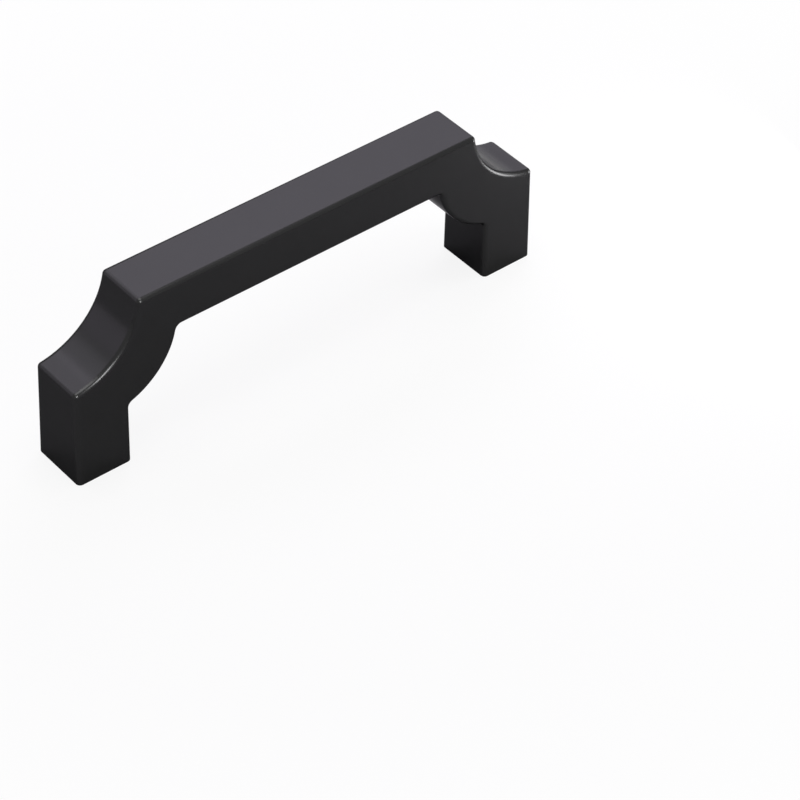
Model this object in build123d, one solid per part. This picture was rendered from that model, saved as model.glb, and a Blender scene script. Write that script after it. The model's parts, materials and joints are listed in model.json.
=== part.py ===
from build123d import *
from math import radians, tan
import os

# Bar pull for a cabinet door or drawer, cast in one piece, in millimetres.
# X runs along the bar, Y across it, and Z away from the door or drawer front.
# The two feet stand on Z = 0, and the origin is midway between them.

# Driving dimensions: bar and feet
hole_spacing = 96.0  # from one screw hole's centre to the other's
foot_length = 11.8  # of each foot's end face, along the bar
pull_width = 12.7  # of each foot's end face, across the bar
pull_height = 35.4  # from the front that it is screwed to, up to the bar's top
bar_thickness = 9.8  # between the bar's flat top and its flat underside
draft_angle = 1.0  # lean of each face that the casting die slides off, from the Z axis

# Driving dimensions: the hollow quarter-round at each outer top corner
scoop_run = 15.0  # along the bar, from the foot's outer toe to the flat top
scoop_drop = 14.3  # from the flat top down to the foot's outer face
scoop_radius = 16.1

# Driving dimensions: the full quarter-round under each end of the bar
bulge_run = 11.4  # along the bar, from the foot's inner toe to the flat underside
bulge_drop = 12.5  # from the flat underside down to the foot's inner face
bulge_radius = 15.9

# Driving dimensions: softened edges
edge_radius = 0.95  # on every edge but those round the feet's end faces
inner_corner_radius = 1.25  # in the corners where a bulge meets its foot and the bar

# Driving dimensions: the tapped screw hole in each foot, for an M4 screw
thread_diameter = 4.0  # the thread's full diameter
thread_depth = 12.0
tap_drill_diameter = 3.3
tap_drill_depth = 14.0  # to the shoulder of the drill's point
drill_point_angle = 118.0
countersink_diameter = 5.6
countersink_angle = 90.0

# How closely an edge's middle matches the corner that it is picked by
match = 0.01

# Places that follow from the sizes
lean = tan(radians(draft_angle))  # how far a drafted face moves in for each millimetre up
foot_outer_toe = (hole_spacing + foot_length) / 2
foot_inner_toe = foot_outer_toe - foot_length
top_flat_end = foot_outer_toe - scoop_run
outer_face_top = pull_height - scoop_drop
underside = pull_height - bar_thickness
underside_flat_end = foot_inner_toe - bulge_run
inner_face_top = underside - bulge_drop

# Corners of the side outline, as (X, Z) on the half where X is positive
scoop_corners = [(top_flat_end, pull_height), (foot_outer_toe - lean * outer_face_top, outer_face_top)]
bulge_corners = [(foot_inner_toe - lean * inner_face_top, inner_face_top), (underside_flat_end, underside)]


def half_outline():
    """Closed outline of half the pull, seen from the side."""
    top_middle = (0, pull_height)
    underside_middle = (0, underside)
    scoop = RadiusArc(*scoop_corners, -scoop_radius)
    bulge = RadiusArc(*bulge_corners, bulge_radius)
    return [
        Line(top_middle, scoop @ 0),
        scoop,
        Polyline(scoop @ 1, (foot_outer_toe, 0), (foot_inner_toe, 0), bulge @ 0),
        bulge,
        Polyline(bulge @ 1, underside_middle, top_middle),
    ]


def width_limit():
    """A prism along the bar that narrows upward and cuts the two long side faces to their lean."""
    base = pull_width / 2
    top = base - lean * pull_height
    section = Polyline((-base, 0), (base, 0), (top, pull_height), (-top, pull_height), close=True)
    return extrude(make_face(Plane.YZ * section), amount=foot_outer_toe, both=True)


def cross_edges_at(body, corners):
    """Edges of the body that run across the bar through these corners, at both ends."""
    places = [Vector(side * x, 0, z) for x, z in corners for side in (-1, 1)]
    return [
        edge
        for edge in body.edges().filter_by(Axis.Y)
        if any((edge.center() - place).length < match for place in places)
    ]


def side_edges(body):
    """Edges round the two long side faces, apart from those at the feet's end faces."""
    faces = body.faces().sort_by(Axis.Y)
    edges = faces[0].edges() + faces[-1].edges()
    return [edge for edge in edges if edge.center().Z > match]


def bar_with_feet():
    """The pull's whole body, with its soft edges and no screw holes."""
    half = make_face(Plane.XZ * Curve(half_outline()))
    outline = half + half.mirror(Plane.YZ)
    body = extrude(outline, amount=pull_width / 2, both=True) & width_limit()
    body = fillet(cross_edges_at(body, bulge_corners), inner_corner_radius)
    return fillet(side_edges(body) + cross_edges_at(body, scoop_corners), edge_radius)


def screw_hole():
    """The space that the drill, tap and countersink clear, opening at Z = 0."""
    countersink_depth = (countersink_diameter - thread_diameter) / 2 / tan(radians(countersink_angle / 2))
    point_length = tap_drill_diameter / 2 / tan(radians(drill_point_angle / 2))
    outline = Polyline(
        (0, 0),
        (countersink_diameter / 2, 0),
        (thread_diameter / 2, countersink_depth),
        (thread_diameter / 2, thread_depth),
        (tap_drill_diameter / 2, thread_depth),
        (tap_drill_diameter / 2, tap_drill_depth),
        (0, tap_drill_depth + point_length),
        close=True,
    )
    return revolve(make_face(Plane.XZ * outline), Axis.Z)


def pull_body():
    """The finished pull: one casting with a tapped hole in each foot."""
    holes = [Pos(side * hole_spacing / 2, 0, 0) * screw_hole() for side in (-1, 1)]
    return bar_with_feet() - holes


os.makedirs("parts", exist_ok=True)
export_step(pull_body(), "parts/pull_body.step")
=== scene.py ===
"""Looks for a cast bar pull: its satin black coat, the threads in its feet, and the studio round it.

Laid out as an add-on and run as a script. Every length is in metres, in the CAD model's own frame: X runs
along the bar, Y across it, and Z away from the door or drawer front, with the feet standing on Z = 0.
"""

import json
import math

import bpy
from bpy.props import FloatProperty, FloatVectorProperty, PointerProperty
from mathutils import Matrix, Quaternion, Vector


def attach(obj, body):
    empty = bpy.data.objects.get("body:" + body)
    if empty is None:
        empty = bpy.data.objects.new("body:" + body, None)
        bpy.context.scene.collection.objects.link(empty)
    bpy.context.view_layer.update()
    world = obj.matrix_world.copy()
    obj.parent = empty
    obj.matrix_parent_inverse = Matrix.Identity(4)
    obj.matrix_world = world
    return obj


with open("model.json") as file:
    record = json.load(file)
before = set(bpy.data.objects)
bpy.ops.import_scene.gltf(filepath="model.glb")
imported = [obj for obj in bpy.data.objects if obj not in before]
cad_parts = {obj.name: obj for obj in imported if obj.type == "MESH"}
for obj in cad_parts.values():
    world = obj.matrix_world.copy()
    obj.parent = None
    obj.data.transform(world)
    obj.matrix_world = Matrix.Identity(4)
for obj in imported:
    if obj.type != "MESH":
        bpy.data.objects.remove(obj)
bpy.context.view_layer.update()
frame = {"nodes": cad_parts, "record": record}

bl_info = {
    "name": "Bar Pull",
    "version": (1, 0, 0),
    "blender": (4, 5, 0),
    "location": "3D View > Sidebar > Bar Pull",
    "description": "Coats a cast bar pull, adds its feet's threads, and sets up floor, lamps and camera",
    "category": "Object",
}

MM = 0.001
CASTING = "pull_body"  # the CAD node of the one-piece casting
BODY = "root"  # nothing on the pull moves, so everything rides on this one body

# The black coat's reflection: how far it mirrors as a metal does, what its plain gloss adds, and how
# bright it stays at a glancing angle
COAT_METALLIC = 0.85
COAT_SPECULAR = 0.0
COAT_EDGE_TINT = 0.48
# Patches of thicker and thinner coat are this many ripples wide
PATCH_RIPPLES = 6.0
# Octaves of noise in the patches, the ripples and the grain
PATCH_DETAIL = 3.0
RIPPLE_DETAIL = 1.0
GRAIN_DETAIL = 2.0

# Thread ridge: points along each turn, and how far its root sinks into the wall of the bore
POINTS_PER_TURN = 64
ROOT_SINK = 0.03 * MM
# Share of the pitch that a metric thread keeps flat at its crest, and at its root
CREST_FLAT = 1 / 4
ROOT_FLAT = 1 / 8

SENSOR_WIDTH = 36  # of the camera, in millimetres as Blender counts it

# Lamps round the pull, as seen from LAMP_AIM: direction in degrees (0 in front, 90 beyond the right foot,
# 180 behind), angle of rise, distance, width and height in metres, the light that reaches the pull, and
# colour
COOL_VIOLET = (0.91, 0.85, 1.0)
DEEP_VIOLET = (0.86, 0.72, 1.0)
NEUTRAL = (1.0, 1.0, 1.0)
LAMPS = {
    "tall_softbox_behind_right": (130, 25, 0.9, 0.62, 0.88, 2.15, COOL_VIOLET),
    "softbox_behind": (174, 53, 0.9, 0.50, 0.35, 0.49, COOL_VIOLET),
    "softbox_behind_left": (208, 42, 0.9, 0.36, 0.42, 0.27, COOL_VIOLET),
    "low_softbox_left": (229, 16, 0.9, 0.40, 0.46, 0.153, DEEP_VIOLET),
    "low_softbox_right": (72, 9, 0.9, 0.50, 0.25, 0.60, NEUTRAL),
    "overhead_panel": (0, 88, 0.9, 0.60, 0.60, 2.15, NEUTRAL),
    "lamp_beside_camera": (344, 29, 1.0, 0.36, 0.36, 2.85, NEUTRAL),
    "edge_strip_right": (71.5, -3.6, 0.1194, 0.036, 0.024, 1.54, NEUTRAL),
    "floor_strip_behind_right": (112, -2.3, 0.124, 0.04, 0.03, 0.18, NEUTRAL),
}
LAMP_AIM = (0.0, 0.0, 0.02)
# These only draw the bright line along the left hollow's edge, and the streak in the right hollow
GLOSS_LAMPS = ("lamp_beside_camera", "floor_strip_behind_right")


# Sizes and colours that a user would change


class CoatSettings(bpy.types.PropertyGroup):
    """The satin black powder coat on the casting."""

    colour: FloatVectorProperty(
        name="Colour",
        description="Colour of the black coat",
        subtype="COLOR",
        size=3,
        min=0.0,
        max=1.0,
        default=(0.0285, 0.0285, 0.0288),
    )
    shade_change: FloatProperty(
        name="Shade Change",
        description="How far the coat's shade drifts over the surface, as a share of its colour",
        subtype="FACTOR",
        min=0.0,
        max=1.0,
        default=0.05,
    )
    roughness: FloatProperty(
        name="Roughness",
        description="How dull the satin sheen is",
        subtype="FACTOR",
        min=0.0,
        max=1.0,
        default=0.25,
    )
    roughness_change: FloatProperty(
        name="Roughness Change",
        description="How far the roughness drifts either way where the coat lies thicker or thinner",
        subtype="FACTOR",
        min=0.0,
        max=1.0,
        default=0.02,
    )
    ripple_size: FloatProperty(
        name="Ripple Size",
        description="Width of the soft ripples that a powder coat sets with",
        unit="LENGTH",
        min=0.0001,
        default=1.6 * MM,
    )
    ripple_height: FloatProperty(
        name="Ripple Height",
        description="Height of the ripples",
        unit="LENGTH",
        min=0.0,
        default=0.001 * MM,
        precision=6,
    )
    grain_size: FloatProperty(
        name="Grain Size",
        description="Width of the coat's finest grain",
        unit="LENGTH",
        min=0.00001,
        default=0.14 * MM,
    )
    grain_height: FloatProperty(
        name="Grain Height",
        description="Height of the finest grain",
        unit="LENGTH",
        min=0.0,
        default=0.0002 * MM,
        precision=6,
    )


class ThreadSettings(bpy.types.PropertyGroup):
    """The tapped thread in each foot, for an M4 machine screw."""

    pitch: FloatProperty(
        name="Pitch",
        description="From one turn of the thread to the next",
        unit="LENGTH",
        min=0.1 * MM,
        default=0.7 * MM,
    )
    crest_diameter: FloatProperty(
        name="Crest Diameter",
        description="Between the crests of the ridge, which is the size of the drill that was run first",
        unit="LENGTH",
        min=0.5 * MM,
        default=3.3 * MM,
    )
    countersink_diameter: FloatProperty(
        name="Countersink Diameter",
        description="Width of the countersink at the foot's end face, which trims the first turns",
        unit="LENGTH",
        min=0.5 * MM,
        default=5.6 * MM,
    )
    # Black like the casting's coat, and a little darker as painted shade deep in the bore
    colour: FloatVectorProperty(
        name="Colour",
        description="Colour of the thinner coat inside the thread",
        subtype="COLOR",
        size=3,
        min=0.0,
        max=1.0,
        default=(0.024, 0.024, 0.0245),
    )
    roughness: FloatProperty(
        name="Roughness",
        description="How dull the coat is inside the thread",
        subtype="FACTOR",
        min=0.0,
        max=1.0,
        default=0.35,
    )


class StudioSettings(bpy.types.PropertyGroup):
    """The floor, the lamps' level and the camera."""

    floor_width: FloatProperty(
        name="Floor Width",
        description="Width of the square floor",
        unit="LENGTH",
        min=0.5,
        default=6.0,
    )
    floor_colour: FloatVectorProperty(
        name="Floor Colour",
        description="Colour of the pale floor",
        subtype="COLOR",
        size=3,
        min=0.0,
        max=1.0,
        default=(0.8, 0.8, 0.8),
    )
    background: FloatVectorProperty(
        name="Background",
        description="White that the camera and reflections see on the floor and beyond it",
        subtype="COLOR",
        size=3,
        min=0.0,
        max=1.0,
        default=(1.0, 1.0, 1.0),
    )
    shadow_share: FloatProperty(
        name="Shadow Share",
        description="How much of the floor's look comes from its own light and shadow, near the pull",
        subtype="FACTOR",
        min=0.0,
        max=1.0,
        default=0.12,
    )
    shadow_reach: FloatProperty(
        name="Shadow Reach",
        description="From the pull's middle to where the floor has faded to plain white",
        unit="LENGTH",
        min=0.05,
        default=0.18,
    )
    mirrored_shadow_share: FloatProperty(
        name="Mirrored Shadow Share",
        description="The same share in the floor's reflection on the pull",
        subtype="FACTOR",
        min=0.0,
        max=1.0,
        default=0.9,
    )
    sky_level: FloatProperty(
        name="Sky Level",
        description="Light that comes evenly from all round",
        min=0.0,
        default=0.06,
    )
    lamp_level: FloatProperty(
        name="Lamp Level",
        description="Strength of all lamps together",
        min=0.0,
        default=1.0,
    )
    camera_place: FloatVectorProperty(
        name="Camera Place",
        description="Where the camera stands",
        subtype="XYZ",
        unit="LENGTH",
        size=3,
        default=(-0.27935, -0.35533, 0.39314),
    )
    camera_aim: FloatVectorProperty(
        name="Camera Aim",
        description="Point that is in the middle of the picture",
        subtype="XYZ",
        unit="LENGTH",
        size=3,
        default=(0.006604, -0.023763, 0.0),
    )
    camera_roll: FloatProperty(
        name="Camera Roll",
        description="How far the camera leans about its own line of sight",
        unit="ROTATION",
        default=math.radians(1.9203),
    )
    camera_lens: FloatProperty(
        name="Camera Lens",
        description="Focal length for a sensor 36 mm wide",
        unit="CAMERA",
        min=1.0,
        default=142.312,
    )


# Helpers


def new_tree(material):
    """The material's empty node tree, with its output node."""
    material.use_nodes = True
    tree = material.node_tree
    tree.nodes.clear()
    return tree, tree.nodes.new("ShaderNodeOutputMaterial")


def maths(tree, operation, first, second):
    """The output of a maths node whose two inputs are links or numbers."""
    node = tree.nodes.new("ShaderNodeMath")
    node.operation = operation
    for socket, value in zip(node.inputs, (first, second)):
        if isinstance(value, bpy.types.NodeSocket):
            tree.links.new(value, socket)
        else:
            socket.default_value = value
    return node.outputs["Value"]


def fresh_noise(tree, place, size, detail):
    """Noise from -1 to 1, whose lumps are as wide as the size says."""
    noise = tree.nodes.new("ShaderNodeTexNoise")
    noise.inputs["Detail"].default_value = detail
    tree.links.new(place, noise.inputs["Vector"])
    tree.links.new(maths(tree, "DIVIDE", 1.0, size), noise.inputs["Scale"])
    return maths(tree, "SUBTRACT", maths(tree, "MULTIPLY", noise.outputs["Fac"], 2.0), 1.0)


def powder_texture():
    """Node group for a powder coat: drifting shade and roughness, with soft ripples and fine grain."""
    name = "powder_texture"
    if name in bpy.data.node_groups:
        return bpy.data.node_groups[name]
    group = bpy.data.node_groups.new(name, "ShaderNodeTree")
    for label, kind in (
        ("Colour", "NodeSocketColor"),
        ("Shade Change", "NodeSocketFloat"),
        ("Roughness", "NodeSocketFloat"),
        ("Roughness Change", "NodeSocketFloat"),
        ("Ripple Size", "NodeSocketFloat"),
        ("Ripple Height", "NodeSocketFloat"),
        ("Grain Size", "NodeSocketFloat"),
        ("Grain Height", "NodeSocketFloat"),
    ):
        group.interface.new_socket(name=label, in_out="INPUT", socket_type=kind)
    for label, kind in (
        ("Colour", "NodeSocketColor"),
        ("Roughness", "NodeSocketFloat"),
        ("Height", "NodeSocketFloat"),
    ):
        group.interface.new_socket(name=label, in_out="OUTPUT", socket_type=kind)
    given = group.nodes.new("NodeGroupInput").outputs
    result = group.nodes.new("NodeGroupOutput").inputs
    place = group.nodes.new("ShaderNodeTexCoord").outputs["Object"]

    patch_size = maths(group, "MULTIPLY", given["Ripple Size"], PATCH_RIPPLES)
    patches = fresh_noise(group, place, patch_size, PATCH_DETAIL)
    ripples = fresh_noise(group, place, given["Ripple Size"], RIPPLE_DETAIL)
    grain = fresh_noise(group, place, given["Grain Size"], GRAIN_DETAIL)

    patch_shade = maths(group, "MULTIPLY", patches, given["Shade Change"])
    grain_shade = maths(group, "MULTIPLY", grain, given["Shade Change"])
    shade = maths(group, "ADD", maths(group, "ADD", patch_shade, grain_shade), 1.0)
    tinted = group.nodes.new("ShaderNodeVectorMath")
    tinted.operation = "SCALE"
    group.links.new(given["Colour"], tinted.inputs["Vector"])
    group.links.new(shade, tinted.inputs["Scale"])
    group.links.new(tinted.outputs["Vector"], result["Colour"])

    dulling = maths(group, "MULTIPLY", maths(group, "ADD", patches, grain), given["Roughness Change"])
    group.links.new(maths(group, "ADD", given["Roughness"], dulling), result["Roughness"])

    ripple_rise = maths(group, "MULTIPLY", ripples, given["Ripple Height"])
    grain_rise = maths(group, "MULTIPLY", grain, given["Grain Height"])
    group.links.new(maths(group, "ADD", ripple_rise, grain_rise), result["Height"])
    return group


def mixed_shaders(tree, share, first, second):
    """The output of a mix of two shaders, where the share says how much of the second shows."""
    mix = tree.nodes.new("ShaderNodeMixShader")
    tree.links.new(share, mix.inputs["Fac"])
    tree.links.new(first, mix.inputs[1])
    tree.links.new(second, mix.inputs[2])
    return mix.outputs["Shader"]


def coat_material(name, colour, roughness, settings):
    """A black coat with the powder texture, in this colour and roughness."""
    material = bpy.data.materials.new(name)
    tree, output = new_tree(material)
    texture = tree.nodes.new("ShaderNodeGroup")
    texture.node_tree = powder_texture()
    texture.inputs["Colour"].default_value = (*colour, 1.0)
    texture.inputs["Shade Change"].default_value = settings.shade_change
    texture.inputs["Roughness"].default_value = roughness
    texture.inputs["Roughness Change"].default_value = settings.roughness_change
    texture.inputs["Ripple Size"].default_value = settings.ripple_size
    texture.inputs["Ripple Height"].default_value = settings.ripple_height
    texture.inputs["Grain Size"].default_value = settings.grain_size
    texture.inputs["Grain Height"].default_value = settings.grain_height

    shader = tree.nodes.new("ShaderNodeBsdfPrincipled")
    shader.inputs["Metallic"].default_value = COAT_METALLIC
    shader.inputs["Specular IOR Level"].default_value = COAT_SPECULAR
    shader.inputs["Specular Tint"].default_value = (COAT_EDGE_TINT, COAT_EDGE_TINT, COAT_EDGE_TINT, 1.0)
    bump = tree.nodes.new("ShaderNodeBump")
    bump.inputs["Strength"].default_value = 1.0
    bump.inputs["Distance"].default_value = 1.0
    tree.links.new(texture.outputs["Height"], bump.inputs["Height"])
    tree.links.new(bump.outputs["Normal"], shader.inputs["Normal"])
    tree.links.new(texture.outputs["Colour"], shader.inputs["Base Color"])
    tree.links.new(texture.outputs["Roughness"], shader.inputs["Roughness"])
    tree.links.new(shader.outputs["BSDF"], output.inputs["Surface"])
    return material


def screw_holes():
    """The record's tapped holes, one in each foot."""
    return [mount for mount in frame["record"]["mounts"] if mount["kind"] == "threaded_hole"]


def thread_ridge(name, hole, thread):
    """Mesh of one hole's right-handed thread ridge, trimmed by the countersink as the real one is."""
    centre_x, centre_y, middle = hole["pos_m"]
    bore_radius = hole["dims"]["r_mm"] * MM
    top = middle + hole["dims"]["length_mm"] * MM / 2
    crest_radius = thread.crest_diameter / 2
    mouth_radius = thread.countersink_diameter / 2
    root_half = thread.pitch * (1 - ROOT_FLAT) / 2
    crest_half = thread.pitch * CREST_FLAT / 2

    # Outline of the ridge as (how far it is along the bore, its distance from the bore's axis)
    wall = bore_radius + ROOT_SINK
    outline = [
        (-root_half, wall),
        (-root_half, bore_radius),
        (-crest_half, crest_radius),
        (crest_half, crest_radius),
        (root_half, bore_radius),
        (root_half, wall),
    ]

    turns = (top - thread.pitch / 2) / thread.pitch
    steps = round(turns * POINTS_PER_TURN)
    points = []
    for step in range(steps + 1):
        angle = math.tau * step / POINTS_PER_TURN
        rise = thread.pitch / 2 + thread.pitch * step / POINTS_PER_TURN
        for along, radius in outline:
            height = rise + along
            # The countersink's 90 degree cone leaves nothing of the ridge inside it
            cone_radius = mouth_radius + ROOT_SINK - height
            reach = max(radius, cone_radius)
            points.append((centre_x + reach * math.cos(angle), centre_y + reach * math.sin(angle), height))
    corners = len(outline)
    faces = []
    for step in range(steps):
        for corner in range(corners):
            following = (corner + 1) % corners
            near, far = step * corners, (step + 1) * corners
            faces.append((near + corner, near + following, far + following, far + corner))
    faces.append(tuple(range(corners - 1, -1, -1)))
    faces.append(tuple(steps * corners + corner for corner in range(corners)))
    mesh = bpy.data.meshes.new(name)
    mesh.from_pydata(points, [], faces)
    mesh.update()
    return mesh


# Operators, one for each group of pieces and one for the stage


class PULL_OT_coat_casting(bpy.types.Operator):
    """Give the casting its satin black powder coat"""

    bl_idname = "pull.coat_casting"
    bl_label = "Coat the Casting"

    def execute(self, context):
        coat = context.scene.pull_coat
        material = coat_material("satin_black_coat", coat.colour, coat.roughness, coat)
        for slot in frame["nodes"][CASTING].material_slots:
            slot.material = material
        return {"FINISHED"}


class PULL_OT_add_threads(bpy.types.Operator):
    """Add the ridge of the tapped thread inside each foot"""

    bl_idname = "pull.add_threads"
    bl_label = "Add the Threads"

    def execute(self, context):
        thread = context.scene.pull_thread
        coat = context.scene.pull_coat
        # The thread's darker colour is painted shade for the bore
        material = coat_material("black_coat_in_thread_with_painted_shade", thread.colour, thread.roughness, coat)
        for hole in screw_holes():
            name = hole["name"].replace("screw_hole", "thread_ridge")
            mesh = thread_ridge(name, hole, thread)
            mesh.materials.append(material)
            ridge = bpy.data.objects.new(name, mesh)
            context.scene.collection.objects.link(ridge)
            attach(ridge, BODY)
        return {"FINISHED"}


class PULL_OT_set_stage(bpy.types.Operator):
    """Set up the pale floor, the white surroundings, the lamps and the camera"""

    bl_idname = "pull.set_stage"
    bl_label = "Set the Stage"

    def execute(self, context):
        studio = context.scene.pull_studio
        self.lay_floor(context, studio)
        self.light_surroundings(context, studio)
        self.hang_lamps(context, studio)
        self.place_camera(context, studio)
        context.scene.view_settings.view_transform = "Standard"
        return {"FINISHED"}

    def seen_share(self, tree, in_view, in_reflections):
        """One share for the camera's view, another for reflections and glass, and 0 for bounced light."""
        path = tree.nodes.new("ShaderNodeLightPath")
        shown = maths(tree, "MULTIPLY", path.outputs["Is Camera Ray"], in_view)
        mirrored = maths(tree, "MAXIMUM", path.outputs["Is Glossy Ray"], path.outputs["Is Transmission Ray"])
        return maths(tree, "MAXIMUM", shown, maths(tree, "MULTIPLY", mirrored, in_reflections))

    def near_pull(self, tree, reach):
        """A mask on the floor: 1 out to half the reach from the pull's middle, and 0 beyond the reach."""
        place = tree.nodes.new("ShaderNodeTexCoord").outputs["Object"]
        scaled = tree.nodes.new("ShaderNodeVectorMath")
        scaled.operation = "SCALE"
        scaled.inputs["Scale"].default_value = 1.0 / reach
        tree.links.new(place, scaled.inputs["Vector"])
        fade = tree.nodes.new("ShaderNodeTexGradient")
        fade.gradient_type = "SPHERICAL"
        tree.links.new(scaled.outputs["Vector"], fade.inputs["Vector"])
        # The gradient falls evenly from 1 to 0 over the reach, so its double is over 1 for half the way
        return maths(tree, "MINIMUM", maths(tree, "MULTIPLY", fade.outputs["Fac"], 2.0), 1.0)

    def lay_floor(self, context, studio):
        """Lay the pale floor, white to the camera but for the pull's soft shadow."""
        half = studio.floor_width / 2
        corners = [(-half, -half, 0), (half, -half, 0), (half, half, 0), (-half, half, 0)]
        mesh = bpy.data.meshes.new("floor")
        mesh.from_pydata(corners, [], [(0, 1, 2, 3)])
        floor = bpy.data.objects.new("floor", mesh)
        context.scene.collection.objects.link(floor)

        material = bpy.data.materials.new("pale_floor")
        tree, output = new_tree(material)
        painted = tree.nodes.new("ShaderNodeBsdfDiffuse")
        painted.inputs["Color"].default_value = (*studio.floor_colour, 1.0)
        white = tree.nodes.new("ShaderNodeEmission")
        white.inputs["Color"].default_value = (*studio.background, 1.0)
        shadow = maths(tree, "MULTIPLY", self.near_pull(tree, studio.shadow_reach), studio.shadow_share)
        in_view = maths(tree, "SUBTRACT", 1.0, shadow)
        share = self.seen_share(tree, in_view, 1.0 - studio.mirrored_shadow_share)
        mix = mixed_shaders(tree, share, painted.outputs["BSDF"], white.outputs["Emission"])
        tree.links.new(mix, output.inputs["Surface"])
        mesh.materials.append(material)

    def light_surroundings(self, context, studio):
        """Make the world white to the camera and in reflections, and a dim even light to all else."""
        world = bpy.data.worlds.new("white_surroundings")
        world.use_nodes = True
        tree = world.node_tree
        tree.nodes.clear()
        output = tree.nodes.new("ShaderNodeOutputWorld")
        soft = tree.nodes.new("ShaderNodeBackground")
        soft.inputs["Color"].default_value = (*studio.background, 1.0)
        soft.inputs["Strength"].default_value = studio.sky_level
        white = tree.nodes.new("ShaderNodeBackground")
        white.inputs["Color"].default_value = (*studio.background, 1.0)
        share = self.seen_share(tree, 1.0, 1.0)
        mix = mixed_shaders(tree, share, soft.outputs["Background"], white.outputs["Background"])
        tree.links.new(mix, output.inputs["Surface"])
        context.scene.world = world

    def hang_lamps(self, context, studio):
        """Hang each lamp in its direction, facing the pull."""
        aim = Vector(LAMP_AIM)
        for name, (azimuth, elevation, distance, width, height, light, colour) in LAMPS.items():
            turn, rise = math.radians(azimuth), math.radians(elevation)
            level = math.cos(rise)
            outward = Vector((math.sin(turn) * level, -math.cos(turn) * level, math.sin(rise)))
            data = bpy.data.lights.new(name, "AREA")
            data.shape = "RECTANGLE"
            data.size, data.size_y = width, height
            data.color = colour
            # A small panel of this power gives the pull that much light from this far off
            data.energy = light * math.pi * distance**2 * studio.lamp_level
            lamp = bpy.data.objects.new(name, data)
            lamp.location = aim + outward * distance
            lamp.rotation_mode = "QUATERNION"
            lamp.rotation_quaternion = outward.to_track_quat("Z", "Y")
            lamp.visible_camera = False
            lamp.visible_diffuse = name not in GLOSS_LAMPS
            context.scene.collection.objects.link(lamp)

    def place_camera(self, context, studio):
        """Stand the camera in its place, aim it and lean it."""
        data = bpy.data.cameras.new("camera")
        data.sensor_width = SENSOR_WIDTH
        data.lens = studio.camera_lens
        camera = bpy.data.objects.new("camera", data)
        place, aim = Vector(studio.camera_place), Vector(studio.camera_aim)
        camera.location = place
        camera.rotation_mode = "QUATERNION"
        level = (aim - place).to_track_quat("-Z", "Y")
        camera.rotation_quaternion = level @ Quaternion((0, 0, 1), studio.camera_roll)
        context.scene.collection.objects.link(camera)
        context.scene.camera = camera


class VIEW3D_PT_bar_pull(bpy.types.Panel):
    """Bar pull's sizes, colours and steps"""

    bl_label = "Bar Pull"
    bl_space_type = "VIEW_3D"
    bl_region_type = "UI"
    bl_category = "Bar Pull"

    def draw(self, context):
        scene = context.scene
        for operator, settings in (
            (PULL_OT_coat_casting, scene.pull_coat),
            (PULL_OT_add_threads, scene.pull_thread),
            (PULL_OT_set_stage, scene.pull_studio),
        ):
            box = self.layout.box()
            for name in settings.__annotations__:
                box.prop(settings, name)
            box.operator(operator.bl_idname)


SETTINGS = {"pull_coat": CoatSettings, "pull_thread": ThreadSettings, "pull_studio": StudioSettings}
CLASSES = (
    *SETTINGS.values(),
    PULL_OT_coat_casting,
    PULL_OT_add_threads,
    PULL_OT_set_stage,
    VIEW3D_PT_bar_pull,
)


def register():
    for cls in CLASSES:
        bpy.utils.register_class(cls)
    for name, settings in SETTINGS.items():
        setattr(bpy.types.Scene, name, PointerProperty(type=settings))


def unregister():
    for name in SETTINGS:
        delattr(bpy.types.Scene, name)
    for cls in reversed(CLASSES):
        bpy.utils.unregister_class(cls)


def main():
    register()
    bpy.ops.pull.coat_casting()
    bpy.ops.pull.add_threads()
    bpy.ops.pull.set_stage()


if __name__ == "__main__":
    main()
